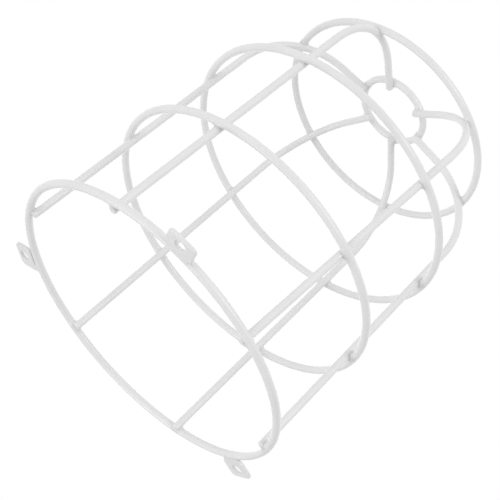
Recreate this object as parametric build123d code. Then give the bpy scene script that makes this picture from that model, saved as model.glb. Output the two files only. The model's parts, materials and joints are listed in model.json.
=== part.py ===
from build123d import *
from math import cos, radians, sin, sqrt, tan
import os

# Lamp guard: a cage of coated steel wire, welded at every crossing, that screws down over a lamp.
# Millimetres. Z = 0 is the mounting face, the lamp comes in through the open base and the dome is up.

# Wire and welds
WIRE_D = 3.3  # steel wire with its coating
WELD_SET = 0.6  # how far two wires are pressed into each other at a weld
END_ROUND = 0.4  # rounding of the coating over a cut wire end

# Hoops, measured at the middle of the wire
GUARD_HEIGHT = 161.5  # mounting face to the top of the centre ring
BASE_HOOP_D = 130.0
LOWER_HOOP_HEIGHT = 54.7
UPPER_HOOP_HEIGHT = 103.0
CROWN_ANGLE = 50.4  # how far up the shoulder bend the crown hoop lies, in degrees
CENTRE_RING_D = 32.4
# How far along X and Y the cage is welded off the middle of the base hoop, and the crown hoop off that of the cage
CAGE_SHIFT = (0.3, 0.3)
CROWN_SHIFT = (0.65, 0.45)

# Ribs: a leg that leans inwards, a bend over the shoulder and a top run that rises to the middle
LEG_LEAN = 0.7  # degrees
TOP_RISE = 4.0  # degrees
SHOULDER_R = 34.0  # at the middle of the wire
# Each rib as it was cut and set before welding: the angle of its top run round the axis and how far its leg
# swings sideways from that, in degrees, then how far its foot stops short of the mounting face and how far
# its inner end passes under the centre ring.
RIB_ANGLES = (1.7, 61.1, 120.4, 184.5, 243.4, 309.0)
SWING_ANGLES = (-0.6, -0.4, -0.8, -1.6, -0.3, -2.3)
FOOT_GAPS = (0.3, 0.6, 1.2, 0.9, 0.1, 0.1)
RIB_REACHES = (1.4, 1.2, 3.6, 0.8, 2.2, 1.7)

# Lugs: small plates with a screw hole, welded to the outside of the base hoop, level with its underside
LUG_ANGLES = (30.0, 150.0, 270.0)
LUG_WIDTH = 12.4
LUG_REACH = 9.3  # past the outside of the base hoop
LUG_THICKNESS = 1.4
LUG_CORNER_R = 2.2
LUG_HOLE_D = 4.6
LUG_HOLE_REACH = 5.2  # middle of the hole past the outside of the base hoop

# Sizes that follow from these
wire_r = WIRE_D / 2
seat = WIRE_D - WELD_SET  # distance between two wires at a weld, middle to middle
lean = radians(LEG_LEAN)
rise = radians(TOP_RISE)
base_r = BASE_HOOP_D / 2
centre_r = CENTRE_RING_D / 2
centre_z = GUARD_HEIGHT - wire_r


def leg_radius(height):
    """Radius of a rib's leg at a height, at the middle of its wire."""
    return base_r - seat / cos(lean) - (height - wire_r) * tan(lean)


def top_height(radius):
    """Height of a rib's top run at a radius, at the middle of its wire."""
    return centre_z - seat / cos(rise) + (centre_r - radius) * tan(rise)


def rib_path(foot_gap, reach):
    """The line that a rib is bent to, in the plane Y = 0."""
    inner_r = centre_r - reach
    return FilletPolyline(
        (leg_radius(foot_gap), 0, foot_gap),
        (corner_r, 0, top_height(corner_r)),
        (inner_r, 0, top_height(inner_r)),
        radius=SHOULDER_R,
    )


# The shoulder bend: where the lines of leg and top run would meet, the middle of the bend, and its radius for a hoop
corner_r = (leg_radius(0) - top_height(0) * tan(lean)) / (1 - tan(rise) * tan(lean))
bend = rib_path(0, 0).edges().filter_by(GeomType.CIRCLE)[0].arc_center
hoop_bend_r = SHOULDER_R + seat


def hoop_radius(height):
    """Radius of a hoop that lies on the outside of the ribs at a height."""
    if height < bend.Z + hoop_bend_r * sin(lean):
        return base_r - (height - wire_r) * tan(lean)
    return bend.X + sqrt(hoop_bend_r**2 - (height - bend.Z) ** 2)


def bent_rib(foot_gap, reach):
    """A rib in the plane Y = 0, with its coating rounded over the cut ends."""
    path = rib_path(foot_gap, reach)
    foot = Plane(origin=path @ 0, z_dir=path % 0)
    wire = sweep(foot * Circle(wire_r), path=path)
    rims = wire.edges().filter_by(GeomType.CIRCLE)
    cut_edges = [rims.sort_by_distance(path @ end)[0] for end in (0, 1)]
    return fillet(cut_edges, END_ROUND)


def ring(radius, height):
    """A plain ring of wire at a height."""
    return Pos(0, 0, height) * Torus(radius, wire_r)


# Ribs
cage = Pos(*CAGE_SHIFT)
to_top = Pos(0, 0, top_height(0))
ribs = []
for angle, swing, foot_gap, reach in zip(RIB_ANGLES, SWING_ANGLES, FOOT_GAPS, RIB_REACHES):
    place = cage * Rot(Z=angle) * to_top * Rot(X=swing) * to_top.inverse()
    ribs.append(place * bent_rib(foot_gap, reach))
parts = {f"rib_{number}": rib for number, rib in enumerate(ribs, start=1)}

# Hoops, each with a seat where it is pressed on to a rib
crown_z = bend.Z + hoop_bend_r * sin(radians(CROWN_ANGLE))
lower_ring = ring(hoop_radius(LOWER_HOOP_HEIGHT), LOWER_HOOP_HEIGHT)
upper_ring = ring(hoop_radius(UPPER_HOOP_HEIGHT), UPPER_HOOP_HEIGHT)
crown_ring = ring(hoop_radius(crown_z), crown_z)
parts["base_hoop"] = ring(base_r, wire_r) - ribs
parts["lower_hoop"] = cage * lower_ring - ribs
parts["upper_hoop"] = cage * upper_ring - ribs
parts["crown_hoop"] = cage * Pos(*CROWN_SHIFT) * crown_ring - ribs
parts["centre_ring"] = cage * ring(centre_r, centre_z) - ribs

# Lugs: the upper half of the inner edge is welded to the wire, the lower half stands clear of its curve
lug_inner_r = base_r + sqrt(wire_r**2 - (wire_r - LUG_THICKNESS / 2) ** 2)
lug_length = base_r + wire_r + LUG_REACH - lug_inner_r
screw_circle_r = base_r + wire_r + LUG_HOLE_REACH
blank = Pos(lug_inner_r + lug_length / 2, 0) * RectangleRounded(lug_length, LUG_WIDTH, LUG_CORNER_R)
outline = blank - Pos(screw_circle_r, 0) * Circle(LUG_HOLE_D / 2)
lug = extrude(outline, LUG_THICKNESS) - ring(base_r, wire_r)
for number, angle in enumerate(LUG_ANGLES, start=1):
    parts[f"lug_{number}"] = Rot(Z=angle) * lug

os.makedirs("parts", exist_ok=True)
for name, solid in parts.items():
    export_step(solid, f"parts/{name}.step")
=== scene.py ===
import json
from functools import partial
from math import atan2, cos, hypot, pi, radians, sin, sqrt, tan

import bmesh
import bpy
from mathutils import Matrix, Vector

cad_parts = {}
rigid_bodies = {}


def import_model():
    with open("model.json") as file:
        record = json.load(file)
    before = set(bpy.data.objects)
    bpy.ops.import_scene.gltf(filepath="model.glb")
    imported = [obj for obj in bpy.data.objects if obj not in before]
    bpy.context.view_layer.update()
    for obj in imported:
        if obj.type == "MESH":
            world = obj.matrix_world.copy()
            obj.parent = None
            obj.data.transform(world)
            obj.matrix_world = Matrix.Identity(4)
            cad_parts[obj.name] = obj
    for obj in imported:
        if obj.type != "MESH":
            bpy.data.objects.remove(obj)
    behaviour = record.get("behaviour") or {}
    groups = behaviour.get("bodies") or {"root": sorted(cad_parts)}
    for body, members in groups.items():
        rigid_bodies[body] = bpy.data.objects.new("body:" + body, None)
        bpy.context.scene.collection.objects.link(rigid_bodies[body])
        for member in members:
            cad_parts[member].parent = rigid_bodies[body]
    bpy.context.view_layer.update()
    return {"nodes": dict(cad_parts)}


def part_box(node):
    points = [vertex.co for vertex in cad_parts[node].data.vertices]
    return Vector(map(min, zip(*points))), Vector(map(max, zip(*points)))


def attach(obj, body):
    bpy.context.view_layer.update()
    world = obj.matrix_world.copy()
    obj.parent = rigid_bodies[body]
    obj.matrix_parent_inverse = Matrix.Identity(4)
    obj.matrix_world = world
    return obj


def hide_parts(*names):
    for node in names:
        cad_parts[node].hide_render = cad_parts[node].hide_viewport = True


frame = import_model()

scene = bpy.context.scene
for leftover in [thing for thing in scene.objects if thing.name in ("Cube", "Light", "Camera")]:
    bpy.data.objects.remove(leftover)

# Ribs: six lengths of hard steel wire, each bent once over the shoulder, cut square at both ends and welded
# inside the hoops, some a little askew. The welded cage is coated as one in satin white, which rounds the
# cut ends and runs into the corners beside each weld. The coat's colour is darkened there with painted
# shade, standing in for the shade that falls in those corners.
mm = 0.001
wire_r = 1.65 * mm
weld_space = 2.7 * mm  # two wires at a weld, middle to middle
base_hoop_r = 65.0 * mm
centre_ring_r = 16.2 * mm
centre_ring_z = 159.85 * mm
leg_lean = radians(0.7)
top_rise = radians(4.0)
shoulder_r = 34.0 * mm
cage_shift = Vector((0.3, 0.3, 0)) * mm
cut_end_round = 0.45 * mm
coat_fillet = 2.0 * mm
coat_unevenness = 0.05 * mm
# each rib: angle of the top run, sideways swing of the leg, gap under the foot, reach of the inner end past
# the centre ring, and how strong the painted shade is in the corners at its welds
rib_settings = (
    (1.7, -0.6, 0.3, 1.4, 0.9),
    (61.1, -0.4, 0.6, 1.2, 0.3),
    (120.4, -0.8, 1.2, 3.6, 0.25),
    (184.5, -1.6, 0.9, 0.8, 0.35),
    (243.4, -0.3, 0.1, 2.2, 1.0),
    (309.0, -2.3, 0.1, 1.7, 0.4),
)


def leg_r(height):
    """Radius of a rib's leg at a height."""
    return base_hoop_r - weld_space / cos(leg_lean) - (height - wire_r) * tan(leg_lean)


def top_z(radius):
    """Height of a rib's top run at a radius."""
    return centre_ring_z - weld_space / cos(top_rise) + (centre_ring_r - radius) * tan(top_rise)


def rib_line(angle, swing, foot, reach):
    """The corners of the line that a rib is bent to, in its place in the cage."""
    corner_r = (leg_r(0) - top_z(0) * tan(leg_lean)) / (1 - tan(top_rise) * tan(leg_lean))
    inner_r = centre_ring_r - reach
    corners = [(leg_r(foot), 0, foot), (corner_r, 0, top_z(corner_r)), (inner_r, 0, top_z(inner_r))]
    to_top = Matrix.Translation((0, 0, top_z(0)))
    swung = to_top @ Matrix.Rotation(radians(swing), 4, "X") @ to_top.inverted()
    setting = Matrix.Translation(cage_shift) @ Matrix.Rotation(radians(angle), 4, "Z") @ swung
    return [setting @ Vector(corner) for corner in corners]


def put(tree, kind, sockets=None, **settings):
    """Adds a node to a tree, sets it up, and joins or fills its sockets."""
    made = tree.nodes.new(kind)
    for key, value in settings.items():
        setattr(made, key, value)
    for key, value in (sockets or {}).items():
        if isinstance(value, bpy.types.NodeSocket):
            tree.links.new(value, made.inputs[key])
        else:
            made.inputs[key].default_value = value
    return made


def reckon(tree, operation, *terms):
    """One step of arithmetic in a tree."""
    return put(tree, "ShaderNodeMath", dict(enumerate(terms)), operation=operation).outputs[0]


def new_tree(name, kind, inputs, outputs):
    """An empty tree with named inputs and outputs."""
    tree = bpy.data.node_groups.new(name, kind)
    for label, socket in inputs.items():
        tree.interface.new_socket(label, in_out="INPUT", socket_type="NodeSocket" + socket)
    for label, socket in outputs.items():
        tree.interface.new_socket(label, in_out="OUTPUT", socket_type="NodeSocket" + socket)
    return tree, tree.nodes.new("NodeGroupInput").outputs, tree.nodes.new("NodeGroupOutput").inputs


noise_low, noise_high = 0.3, 0.7  # most of a noise lies between these


def spread(tree, noise, low, high):
    """Maps the middle of a noise on to a range."""
    sockets = {"Value": noise, "From Min": noise_low, "From Max": noise_high, "To Min": low, "To Max": high}
    return put(tree, "ShaderNodeMapRange", sockets).outputs["Result"]


cloudiness = (0.98, 1.015)  # from the dullest patch to the brightest, as a share of the tone
satin_roughness = (0.25, 0.35)
patch_size = 14 * mm
peel_size = 1.1 * mm
coat_ior = 1.55
coat_look, given, wanted = new_tree(
    "white coat over metal",
    "ShaderNodeTree",
    {"Tone": "Color", "Painted shade tone": "Color", "Patch size": "Float", "Peel size": "Float"},
    {"Colour": "Color", "Roughness": "Float", "Height": "Float"},
)
place = put(coat_look, "ShaderNodeTexCoord").outputs["Object"]
patch_scale = reckon(coat_look, "DIVIDE", 1.0, given["Patch size"])
peel_scale = reckon(coat_look, "DIVIDE", 1.0, given["Peel size"])
clouds = {"Vector": place, "Scale": patch_scale, "Detail": 3.0}
patches = put(coat_look, "ShaderNodeTexNoise", clouds).outputs["Fac"]
dimples = {"Vector": place, "Scale": peel_scale, "Detail": 1.5}
peel = put(coat_look, "ShaderNodeTexNoise", dimples).outputs["Fac"]
# painted shade: the corner attribute mixes the tone towards a darker one in the corners beside welds,
# standing in for the shade that falls there
corner = put(coat_look, "ShaderNodeAttribute", attribute_name="corner").outputs["Fac"]
tones = {"Factor": corner, 6: given["Tone"], 7: given["Painted shade tone"]}
toned = put(coat_look, "ShaderNodeMix", tones, data_type="RGBA").outputs[2]
cloudy = {"Hue": 0.5, "Saturation": 1.0, "Value": spread(coat_look, patches, *cloudiness), "Color": toned}
coat_look.links.new(put(coat_look, "ShaderNodeHueSaturation", cloudy).outputs["Color"], wanted["Colour"])
coat_look.links.new(spread(coat_look, patches, *satin_roughness), wanted["Roughness"])
coat_look.links.new(peel, wanted["Height"])


def white_coat(name, tone, painted_shade_tone, peel_depth):
    """The white coat, as it lies on one kind of metal, with a darker tone for the painted shade in its
    corners.
    """
    material = bpy.data.materials.new(name)
    material.use_nodes = True
    tree = material.node_tree
    tree.nodes.clear()
    tones = {"Tone": (tone, tone, tone, 1), "Painted shade tone": (painted_shade_tone, painted_shade_tone, painted_shade_tone, 1)}
    sizes = {"Patch size": patch_size, "Peel size": peel_size}
    coat = put(tree, "ShaderNodeGroup", {**tones, **sizes}, node_tree=coat_look).outputs
    skin = put(tree, "ShaderNodeBump", {"Strength": 1.0, "Distance": peel_depth, "Height": coat["Height"]})
    look = {"Base Color": coat["Colour"], "Roughness": coat["Roughness"], "Normal": skin.outputs["Normal"]}
    shader = put(tree, "ShaderNodeBsdfPrincipled", {**look, "IOR": coat_ior})
    put(tree, "ShaderNodeOutputMaterial", {"Surface": shader.outputs["BSDF"]})
    return material


# the second, darker tone is painted shade for the corners beside welds
wire_coat = white_coat("white_coat_on_wire", tone=0.81, painted_shade_tone=0.56, peel_depth=0.02 * mm)

# a coated wire along a line, thicker beside the pieces that it is welded to
wire_inputs = {
    "Wire radius": "Float",
    "Welded to": "Collection",
    "Coat fillet": "Float",
    "Corner depth": "Float",
    "Unevenness": "Float",
    "Seed": "Float",
    "Coating": "Material",
}
coated_wire, given, wanted = new_tree(
    "coated wire",
    "GeometryNodeTree",
    {"Line": "Geometry", "End scale": "Float", **wire_inputs},
    {"Wire": "Geometry"},
)
round_steps = 28  # round a wire
lump_size = 10.5 * mm


def gap_to(tree, collection):
    """How far a point is from the pieces of a collection."""
    others = put(tree, "GeometryNodeCollectionInfo", {"Collection": collection}).outputs["Instances"]
    others = put(tree, "GeometryNodeRealizeInstances", {"Geometry": others}).outputs["Geometry"]
    nearest = put(tree, "GeometryNodeProximity", {"Geometry": others}, target_element="FACES")
    return nearest.outputs["Distance"]


section = put(
    coated_wire,
    "GeometryNodeCurvePrimitiveCircle",
    {"Resolution": round_steps, "Radius": given["Wire radius"]},
    mode="RADIUS",
).outputs["Curve"]
tube = put(
    coated_wire,
    "GeometryNodeCurveToMesh",
    {"Curve": given["Line"], "Profile Curve": section, "Scale": given["End scale"], "Fill Caps": True},
).outputs["Mesh"]
# the coat pools beside a weld and thins out to nothing at the fillet's edge
gap = gap_to(coated_wire, given["Welded to"])
short = reckon(coated_wire, "MAXIMUM", reckon(coated_wire, "SUBTRACT", given["Coat fillet"], gap), 0.0)
pool = reckon(coated_wire, "MULTIPLY", short, short)
pool = reckon(coated_wire, "DIVIDE", pool, reckon(coated_wire, "MULTIPLY", given["Coat fillet"], 4.0))
lumps = put(
    coated_wire,
    "ShaderNodeTexNoise",
    {"W": given["Seed"], "Scale": 1 / lump_size, "Detail": 1.0},
    noise_dimensions="4D",
).outputs["Fac"]
thinner = reckon(coated_wire, "MULTIPLY", given["Unevenness"], lumps)
outward = put(coated_wire, "GeometryNodeInputNormal").outputs["Normal"]
grow = {0: outward, "Scale": reckon(coated_wire, "SUBTRACT", pool, thinner)}
grow = put(coated_wire, "ShaderNodeVectorMath", grow, operation="SCALE").outputs["Vector"]
grown = {"Geometry": tube, "Offset": grow}
covered = put(coated_wire, "GeometryNodeSetPosition", grown).outputs["Geometry"]
# the coat is wiped level with the mounting face, and X and Y stay free
spot = put(coated_wire, "GeometryNodeInputPosition").outputs["Position"]
limits = {0: spot, 1: (-1.0, -1.0, 0.0)}
level = put(coated_wire, "ShaderNodeVectorMath", limits, operation="MAXIMUM").outputs["Vector"]
wiped = {"Geometry": covered, "Position": level}
covered = put(coated_wire, "GeometryNodeSetPosition", wiped).outputs["Geometry"]
# painted shade: near each weld the corner attribute rises towards 1, scaled by the wire's painted shade
# strength, and darkens the coat's colour there
near = {"Value": gap, "From Min": 0.0, "From Max": given["Coat fillet"], "To Min": 1.0, "To Max": 0.0}
near = put(coated_wire, "ShaderNodeMapRange", near).outputs["Result"]
shade = reckon(coated_wire, "MULTIPLY", reckon(coated_wire, "POWER", near, 2.0), given["Corner depth"])
marked = {"Geometry": covered, "Name": "corner", "Value": shade}
covered = put(coated_wire, "GeometryNodeStoreNamedAttribute", marked, data_type="FLOAT", domain="POINT")
covered = covered.outputs["Geometry"]
covered = put(coated_wire, "GeometryNodeSetShadeSmooth", {"Geometry": covered}).outputs["Geometry"]
covered = put(coated_wire, "GeometryNodeRealizeInstances", {"Geometry": covered}).outputs["Geometry"]
covered = put(coated_wire, "GeometryNodeSetMaterial", {"Geometry": covered, "Material": given["Coating"]})
coated_wire.links.new(covered.outputs["Geometry"], wanted["Wire"])

# a rib, bent over the shoulder and rounded at its cut ends
step_length = 1.2 * mm  # along a wire
weld_cuts = 4  # each step is cut finer beside a weld and at a cut end
weld_reach = 5.0 * mm
bend_steps = 60
bent_rib, given, wanted = new_tree(
    "bent rib",
    "GeometryNodeTree",
    {"Geometry": "Geometry", "Bend radius": "Float", "End rounding": "Float", **wire_inputs},
    {"Geometry": "Geometry"},
)


def fine_near_welds(tree, line, collection, always):
    """Cuts a line finer beside the welds, and wherever else it is asked."""
    close = reckon(tree, "LESS_THAN", gap_to(tree, collection), weld_reach)
    cuts = reckon(tree, "MULTIPLY", reckon(tree, "MAXIMUM", close, always), float(weld_cuts))
    return put(tree, "GeometryNodeSubdivideCurve", {"Curve": line, "Cuts": cuts}).outputs["Curve"]


def coat_along(tree, given, line, end_scale):
    """Puts the coated wire along a line."""
    sockets = {"Line": line, "End scale": end_scale, **{label: given[label] for label in wire_inputs}}
    return put(tree, "GeometryNodeGroup", sockets, node_tree=coated_wire).outputs["Wire"]


line = put(bent_rib, "GeometryNodeMeshToCurve", {"Mesh": given["Geometry"]}).outputs["Curve"]
bend = {"Curve": line, "Count": bend_steps, "Radius": given["Bend radius"]}
line = put(bent_rib, "GeometryNodeFilletCurve", bend, mode="POLY").outputs["Curve"]
steps = {"Curve": line, "Length": step_length}
even = put(bent_rib, "GeometryNodeResampleCurve", steps, mode="LENGTH").outputs["Curve"]
whole = put(bent_rib, "GeometryNodeSplineLength").outputs
index = put(bent_rib, "GeometryNodeInputIndex").outputs["Index"]
last = reckon(bent_rib, "SUBTRACT", reckon(bent_rib, "SUBTRACT", whole["Point Count"], 1.0), index)
first_or_last = reckon(bent_rib, "MINIMUM", index, reckon(bent_rib, "SUBTRACT", last, 1.0))
end_step = reckon(bent_rib, "LESS_THAN", first_or_last, 0.5)
line = fine_near_welds(bent_rib, even, given["Welded to"], end_step)
# the cuts of the first and last step are moved into a quarter turn that rounds the end
from_end = reckon(bent_rib, "MINIMUM", index, last)
turn = reckon(bent_rib, "DIVIDE", from_end, weld_cuts + 1.0)
turn = reckon(bent_rib, "MULTIPLY", reckon(bent_rib, "MINIMUM", turn, 1.0), pi / 2)
rise_in = reckon(bent_rib, "SUBTRACT", 1.0, reckon(bent_rib, "COSINE", turn))
rise_in = reckon(bent_rib, "MULTIPLY", rise_in, given["End rounding"])
draw_in = reckon(bent_rib, "SUBTRACT", 1.0, reckon(bent_rib, "SINE", turn))
draw_in = reckon(bent_rib, "MULTIPLY", draw_in, given["End rounding"])
at_start = reckon(bent_rib, "LESS_THAN", index, last)
from_far_end = reckon(bent_rib, "SUBTRACT", whole["Length"], rise_in)
run = {"Switch": at_start, "False": from_far_end, "True": rise_in}
run = put(bent_rib, "GeometryNodeSwitch", run, input_type="FLOAT").outputs["Output"]
along = {"Curves": even, "Length": run}
spot = put(bent_rib, "GeometryNodeSampleCurve", along, mode="LENGTH").outputs["Position"]
at_end = reckon(bent_rib, "LESS_THAN", from_end, weld_cuts + 1.5)
line = put(bent_rib, "GeometryNodeSetPosition", {"Geometry": line, "Selection": at_end, "Position": spot})
end_scale = reckon(bent_rib, "SUBTRACT", 1.0, reckon(bent_rib, "DIVIDE", draw_in, given["Wire radius"]))
bent_rib.links.new(coat_along(bent_rib, given, line.outputs["Geometry"], end_scale), wanted["Geometry"])


def gather(name, members):
    """A collection of the pieces that a wire is welded to."""
    group = bpy.data.collections.new(name)
    for member in members:
        group.objects.link(member)
    return group


def form(name, points, tree, values):
    """Runs a tree on a line of points and keeps what it makes as a plain mesh piece."""
    source = bpy.data.meshes.new(name + "_line")
    source.from_pydata(points, [(k, k + 1) for k in range(len(points) - 1)], [])
    host = bpy.data.objects.new(name + "_line", source)
    scene.collection.objects.link(host)
    step = host.modifiers.new("form", "NODES")
    step.node_group = tree
    for socket in tree.interface.items_tree:
        if socket.in_out == "INPUT" and socket.name in values:
            step[socket.identifier] = values[socket.name]
    bpy.context.view_layer.update()
    evaluated = host.evaluated_get(bpy.context.evaluated_depsgraph_get())
    made = bpy.data.meshes.new_from_object(evaluated)
    made.name = name
    bpy.data.objects.remove(host)
    bpy.data.meshes.remove(source)
    piece = bpy.data.objects.new(name, made)
    scene.collection.objects.link(piece)
    return piece


hoop_names = ("base_hoop", "lower_hoop", "upper_hoop", "crown_hoop", "centre_ring")
wire_values = {
    "Wire radius": wire_r,
    "Welded to": gather("hoops before coating", [frame["nodes"][name] for name in hoop_names]),
    "Coat fillet": coat_fillet,
    "Unevenness": coat_unevenness,
    "Coating": wire_coat,
}
rib_wires = []
for number, (angle, swing, foot_gap, reach, painted_shade_strength) in enumerate(rib_settings, start=1):
    values = {**wire_values, "Bend radius": shoulder_r, "End rounding": cut_end_round}
    values.update({"Corner depth": painted_shade_strength, "Seed": float(number)})
    rib = form(f"rib_wire_{number}", rib_line(angle, swing, foot_gap * mm, reach * mm), bent_rib, values)
    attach(rib, "root")
    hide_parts(f"rib_{number}")
    rib_wires.append(rib)

# Hoops: four rings of the same wire pressed and welded on to the outside of the ribs, one of them round the
# open end, and a small ring over the ribs' inner ends. Each is rolled and its ends are joined to a closed
# ring, and the joint doesn't show under the coat.
# strength of the painted shade in the corners beside the hoops' welds
hoop_painted_shade_strength = 0.35
first_hoop_seed = 11
rolled_hoop, given, wanted = new_tree(
    "rolled hoop",
    "GeometryNodeTree",
    {"Geometry": "Geometry", "Hoop radius": "Float", "Middle": "Vector", **wire_inputs},
    {"Geometry": "Geometry"},
)
length = reckon(rolled_hoop, "MULTIPLY", given["Hoop radius"], 2 * pi)
circle = {"Resolution": reckon(rolled_hoop, "DIVIDE", length, step_length), "Radius": given["Hoop radius"]}
line = put(rolled_hoop, "GeometryNodeCurvePrimitiveCircle", circle, mode="RADIUS").outputs["Curve"]
placed = {"Geometry": line, "Offset": given["Middle"]}
line = put(rolled_hoop, "GeometryNodeSetPosition", placed).outputs["Geometry"]
line = fine_near_welds(rolled_hoop, line, given["Welded to"], 0.0)
rolled_hoop.links.new(coat_along(rolled_hoop, given, line, 1.0), wanted["Geometry"])

wire_values["Welded to"] = gather("ribs after coating", rib_wires)
wire_values["Corner depth"] = hoop_painted_shade_strength
for number, node in enumerate(hoop_names, start=first_hoop_seed):
    low, high = (Vector(corner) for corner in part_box(node))
    hoop_r = (high.x - low.x) / 2 - wire_r
    values = {**wire_values, "Hoop radius": hoop_r, "Middle": (low + high) / 2, "Seed": float(number)}
    hoop = form(node + "_wire", [], rolled_hoop, values)
    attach(hoop, "root")
    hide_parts(node)

# Lugs: three small plates stamped from steel sheet with rounded corners and a screw hole, each welded edge
# on to the outside of the base hoop with its underside level. Weld and coat fill the corner between plate
# and wire, and leave it open where the fill has drawn back.
lug_angles = (30.0, 150.0, 270.0)
lug_half_width = 6.2 * mm
lug_inner_r = 66.35 * mm
lug_outer_r = 75.95 * mm
lug_thickness = 1.4 * mm
lug_corner_r = 2.2 * mm
lug_edge_round = 0.4 * mm
screw_circle_r = 71.85 * mm
screw_hole_r = 2.3 * mm
# the fill under each lug: places across the lug in millimetres, and how full the corner is there
lug_fills = (
    ((-4.8, 0.3), (-3.8, 0.85), (0.0, 0.75), (3.8, 0.85), (4.8, 0.3)),
    ((-6.1, 0.4), (-5.4, 1.0), (-3.2, 1.0), (-2.2, 0.3), (-1.0, 0.05), (4.5, 0.05)),
    ((-4.9, 0.6), (-4.1, 1.0), (4.1, 1.0), (4.9, 0.6)),
)
# a full corner and an open one: how far round the wire the fill starts, in degrees from its underside
full_start, open_start = 6.0, 53.0
fill_on_plate = 0.05 * mm  # width of the fill on the plate where the corner is open
fill_widening = 0.6 * mm  # how much wider it is there where the corner is full
open_lift = 0.45 * mm  # height of an open fill's edge over the underside
open_sag = 0.19 * mm
full_sag = 0.02 * mm
fillet_over_lug = 0.6 * mm
wire_bulge = 0.25 * mm  # how far the wire's side stands out over the plate's inner edge
weld_half_length = 4.6 * mm
weld_end_share = 1.02  # the fillet over a lug runs out just past the ends of the weld
bead_steps = 40  # along a weld
sunk = 0.1 * mm  # a bead's hidden edges lie one to three of these inside plate and wire
bead_core_z = 1.0 * mm
hidden_top_share = 0.8  # of the height of the fillet over a lug, for its edge inside the wire
rim_steps = 4
quarter_turns = [k / rim_steps * pi / 2 for k in range(rim_steps + 1)]
corner_shade_reach = 1.1 * mm
corner_shade_power = 1.5
shade_over_lug = 0.2
sharp_edge = radians(35)  # a larger angle between two faces stays sharp
# the plate's coat is also darkened to a second tone where painted shade marks the corners
plate_coat = white_coat("white_coat_on_plate", tone=0.80, painted_shade_tone=0.6, peel_depth=0.015 * mm)

lug_flat = lug_half_width - lug_corner_r  # half the straight part of an end
lug_bends = (
    Vector((lug_outer_r - lug_corner_r, -lug_flat, 0)),
    Vector((lug_outer_r - lug_corner_r, lug_flat, 0)),
    Vector((lug_inner_r + lug_corner_r, lug_flat, 0)),
    Vector((lug_inner_r + lug_corner_r, -lug_flat, 0)),
)


def lug_edge(inset):
    """Points round a lug, an inset in from its edge; X is outwards and Y across."""
    corner_steps, side_steps = 8, 10
    found = []
    for k, middle in enumerate(lug_bends):
        start = pi / 2 * (k - 1)
        turns = [start + pi / 2 * step / corner_steps for step in range(corner_steps)]
        found += [middle + Vector((cos(a), sin(a), 0)) * (lug_corner_r - inset) for a in turns]
        sideways = Vector((cos(start + pi / 2), sin(start + pi / 2), 0)) * (lug_corner_r - inset)
        following = lug_bends[(k + 1) % len(lug_bends)]
        found += [middle.lerp(following, step / side_steps) + sideways for step in range(side_steps)]
    return found


def lug_hole(inset):
    """Points round a lug's hole, an inset out from its wall, each on the way to a point of the edge."""
    middle = Vector((screw_circle_r, 0, 0))
    return [middle + (point - middle).normalized() * (screw_hole_r + inset) for point in lug_edge(0)]


def lug_face(share):
    """Points on the face of a lug, a share of the way from its hole to its edge."""
    return [near.lerp(far, share) for near, far in zip(lug_hole(lug_edge_round), lug_edge(lug_edge_round))]


def join_rings(shape, rings, closed):
    """Fills the faces between rings of points."""
    rings = [[shape.verts.new(point) for point in ring] for ring in rings]
    for one, other in zip(rings, rings[1:] + rings[:1] if closed else rings[1:]):
        for k in range(len(one)):
            following = (k + 1) % len(one)
            shape.faces.new((one[k], one[following], other[following], other[k]))
    if not closed:
        shape.faces.new(rings[0])
        shape.faces.new(rings[-1][::-1])


def add_plate(shape):
    """Adds the plate, from the hole out to the edge and back over the top, with rounded edges."""
    face_shares = (0.1, 0.35, 0.65, 0.9)
    rim = [(lug_edge_round * (1 - sin(a)), lug_edge_round * (1 - cos(a))) for a in quarter_turns]
    lower = [(lug_hole(inset), z) for inset, z in rim[::-1]]
    lower += [(lug_face(share), 0.0) for share in face_shares]
    lower += [(lug_edge(inset), z) for inset, z in rim]
    loops = lower + [(points, lug_thickness - z) for points, z in lower[::-1]]
    join_rings(shape, [[(point.x, point.y, z) for point in points] for points, z in loops], closed=True)


def add_bead(shape, low, high, section):
    """Adds a bead along the corner between lug and hoop, from one place across the lug to another."""
    rings = []
    for k in range(bead_steps + 1):
        y = low + (high - low) * k / bead_steps
        past_flat = max(abs(y) - lug_flat, 0.0)
        x = lug_inner_r + lug_corner_r - sqrt(lug_corner_r**2 - past_flat**2)
        a = atan2(y, x)
        rings.append([(r * cos(a), r * sin(a), z) for r, z in section(y, hypot(x, y))])
    join_rings(shape, rings, closed=False)


def on_wire(turn, r=wire_r):
    """A point of the base hoop's section, from its underside outwards."""
    return base_hoop_r + r * sin(turn), wire_r - r * cos(turn)


def fill_at(fills, y):
    """How full the corner under a lug is at a place across it."""
    for (place, fill), (next_place, next_fill) in zip(fills, fills[1:]):
        if y <= next_place * mm:
            share = (y / mm - place) / (next_place - place)
            return fill + (next_fill - fill) * max(share, 0.0)
    return fills[-1][1]


def under_section(fills, y, edge_r):
    """The fill under a lug, from the wire across to the underside of the plate."""
    fill = fill_at(fills, y)
    turn = radians(open_start - (open_start - full_start) * fill)
    start_r, start_z = on_wire(turn)
    end_r = edge_r + fill_on_plate + fill_widening * fill
    end_z = open_lift * (1 - fill) ** 2
    sag = open_sag - (open_sag - full_sag) * fill
    found = [on_wire(turn, wire_r - 2 * sunk), (start_r, start_z)]
    for share in (0.25, 0.5, 0.75):
        drop = sag * share * (1 - share)
        found.append((start_r + (end_r - start_r) * share, start_z + (end_z - start_z) * share + drop))
    return found + [(end_r, end_z), (end_r + sunk, open_lift + sunk), (edge_r - sunk, bead_core_z)]


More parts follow.
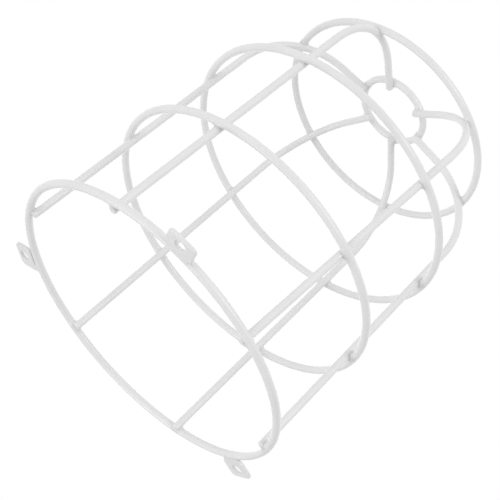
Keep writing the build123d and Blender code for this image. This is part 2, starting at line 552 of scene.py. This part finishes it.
def over_section(y, edge_r):
    """The fill over a lug, from the plate's top up the wire, running out at the ends of the weld."""
    fillet = fillet_over_lug * sqrt(max(weld_end_share - (y / weld_half_length) ** 2, 0.0))
    foot_r = edge_r + wire_bulge
    found = [(edge_r - 1.5 * sunk, bead_core_z), (foot_r + fillet, lug_thickness - 2 * sunk)]
    for a in quarter_turns:
        found.append((foot_r + fillet * (1 - sin(a)), lug_thickness + fillet * (1 - cos(a))))
    return found + [(edge_r - 3 * sunk, lug_thickness + fillet * hidden_top_share)]


for number, (angle, fills) in enumerate(zip(lug_angles, lug_fills), start=1):
    shape = bmesh.new()
    add_plate(shape)
    low, high = fills[0][0] * mm, fills[-1][0] * mm
    add_bead(shape, low, high, partial(under_section, fills))
    add_bead(shape, -weld_half_length, weld_half_length, over_section)
    bmesh.ops.recalc_face_normals(shape, faces=shape.faces)
    for edge in shape.edges:
        edge.smooth = edge.calc_face_angle() < sharp_edge
    for face in shape.faces:
        face.smooth = True
    # painted shade on each lug: the colour darkens near the wire where the corner under the plate is left
    # open, and a little over the plate's top
    shade = shape.verts.layers.float.new("corner")
    for point in shape.verts:
        away = hypot(point.co.xy.length - base_hoop_r, point.co.z - wire_r) - wire_r
        open_share = 1 - fill_at(fills, point.co.y) if point.co.z < lug_thickness / 2 else shade_over_lug
        point[shade] = open_share * max(0.0, 1 - max(away, 0.0) / corner_shade_reach) ** corner_shade_power
    bmesh.ops.rotate(shape, verts=shape.verts, matrix=Matrix.Rotation(radians(angle), 3, "Z"))
    plate = bpy.data.meshes.new(f"lug_plate_{number}")
    shape.to_mesh(plate)
    shape.free()
    plate.materials.append(plate_coat)
    lug = bpy.data.objects.new(f"lug_plate_{number}", plate)
    scene.collection.objects.link(lug)
    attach(lug, "root")
    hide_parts(f"lug_{number}")

# Floor: a plain pale grey table that the guard stands on. The camera looks up into the open end from under
# the table's level, so the table shows only from above, and it fades out into the white round it.
floor_r = 1.6
floor_edges = 96
floor_drop = 0.3 * mm
floor_tone = 0.74
fade_start, fade_end = 0.75, 1.55
floor_mesh = bpy.data.meshes.new("floor")
shape = bmesh.new()
bmesh.ops.create_circle(shape, cap_ends=True, segments=floor_edges, radius=floor_r)
bmesh.ops.translate(shape, verts=shape.verts, vec=(0, 0, -floor_drop))
shape.to_mesh(floor_mesh)
shape.free()
floor = bpy.data.objects.new("floor", floor_mesh)
scene.collection.objects.link(floor)
floor.visible_diffuse = False
floor.visible_shadow = False
floor_look = bpy.data.materials.new("pale_table")
floor_look.use_nodes = True
tree = floor_look.node_tree
tree.nodes.clear()
place = put(tree, "ShaderNodeTexCoord").outputs["Object"]
out = put(tree, "ShaderNodeVectorMath", {0: place}, operation="LENGTH").outputs["Value"]
fade = {"Value": out, "From Min": fade_start, "From Max": fade_end, "To Min": 0.0, "To Max": 1.0}
fade = put(tree, "ShaderNodeMapRange", fade).outputs["Result"]
behind = put(tree, "ShaderNodeNewGeometry").outputs["Backfacing"]
unseen = reckon(tree, "MAXIMUM", fade, behind)
floor_colour = (floor_tone, floor_tone, floor_tone, 1)
pale = put(tree, "ShaderNodeBsdfDiffuse", {"Color": floor_colour}).outputs["BSDF"]
clear = put(tree, "ShaderNodeBsdfTransparent").outputs["BSDF"]
shown = put(tree, "ShaderNodeMixShader", {0: unseen, 1: pale, 2: clear}).outputs["Shader"]
put(tree, "ShaderNodeOutputMaterial", {"Surface": shown})
floor_mesh.materials.append(floor_look)

# Light: a white tent that is a little darker under the camera, and broad soft lamps below the open end, to
# the left and right of the camera and behind the guard.
tent_level = 0.765
dark_share = 0.28
dark_side = (0.514, -0.562, -0.648)
dark_edge, dark_core = cos(radians(75)), cos(radians(20))
world = bpy.data.worlds.new("white_tent")
scene.world = world
world.use_nodes = True
tree = world.node_tree
tree.nodes.clear()
path = put(tree, "ShaderNodeLightPath").outputs
seen = reckon(tree, "MAXIMUM", path["Is Camera Ray"], path["Is Glossy Ray"])
seen = reckon(tree, "MAXIMUM", seen, path["Is Transmission Ray"])
direction = put(tree, "ShaderNodeTexCoord").outputs["Generated"]
sides = {0: direction, 1: dark_side}
towards = put(tree, "ShaderNodeVectorMath", sides, operation="DOT_PRODUCT").outputs["Value"]
levels = {"To Min": tent_level, "To Max": tent_level * (1 - dark_share)}
level = {"Value": towards, "From Min": dark_edge, "From Max": dark_core, **levels}
level = put(tree, "ShaderNodeMapRange", level, interpolation_type="SMOOTHSTEP").outputs["Result"]
tent = put(tree, "ShaderNodeBackground", {"Color": (1, 1, 1, 1), "Strength": level}).outputs["Background"]
white = put(tree, "ShaderNodeBackground", {"Color": (1, 1, 1, 1), "Strength": 1.0}).outputs["Background"]
both = put(tree, "ShaderNodeMixShader", {0: seen, 1: tent, 2: white}).outputs["Shader"]
put(tree, "ShaderNodeOutputWorld", {"Surface": both})

# each lamp's place, size and power
soft_lamps = {
    "lamp_below": ((-0.62, 0.31, -1.80), 0.85, 9.0),
    "lamp_at_left": ((-1.10, -1.33, -0.93), 0.85, 4.9),
    "lamp_at_right": ((1.01, -1.71, 0.33), 0.85, 9.6),
    "lamp_behind": ((-0.28, 1.73, 1.04), 1.8, 6.0),
}
guard_middle = Vector((0, 0, 0.08))
for name, (place, size, power) in soft_lamps.items():
    glow = bpy.data.lights.new(name, "AREA")
    glow.shape = "SQUARE"
    glow.size = size
    glow.energy = power
    lamp = bpy.data.objects.new(name, glow)
    lamp.location = place
    lamp.rotation_euler = (guard_middle - Vector(place)).to_track_quat("-Z", "Y").to_euler()
    lamp.visible_camera = False
    scene.collection.objects.link(lamp)

# Camera: below the open end, looking up into the dome, with the guard's axis running across the picture
# from the lower left to the upper right, as in the photograph.
camera_place = (0.0665707, -0.3860115, -0.1566812)
camera_turns = (129.46142, -41.04579, -19.27314)  # degrees
view = bpy.data.cameras.new("camera")
view.sensor_width = 36.0
view.lens = 79.213
view.clip_start = 0.01
camera = bpy.data.objects.new("camera", view)
camera.location = camera_place
camera.rotation_euler = [radians(turn) for turn in camera_turns]
scene.collection.objects.link(camera)
scene.camera = camera
scene.view_settings.view_transform = "Standard"
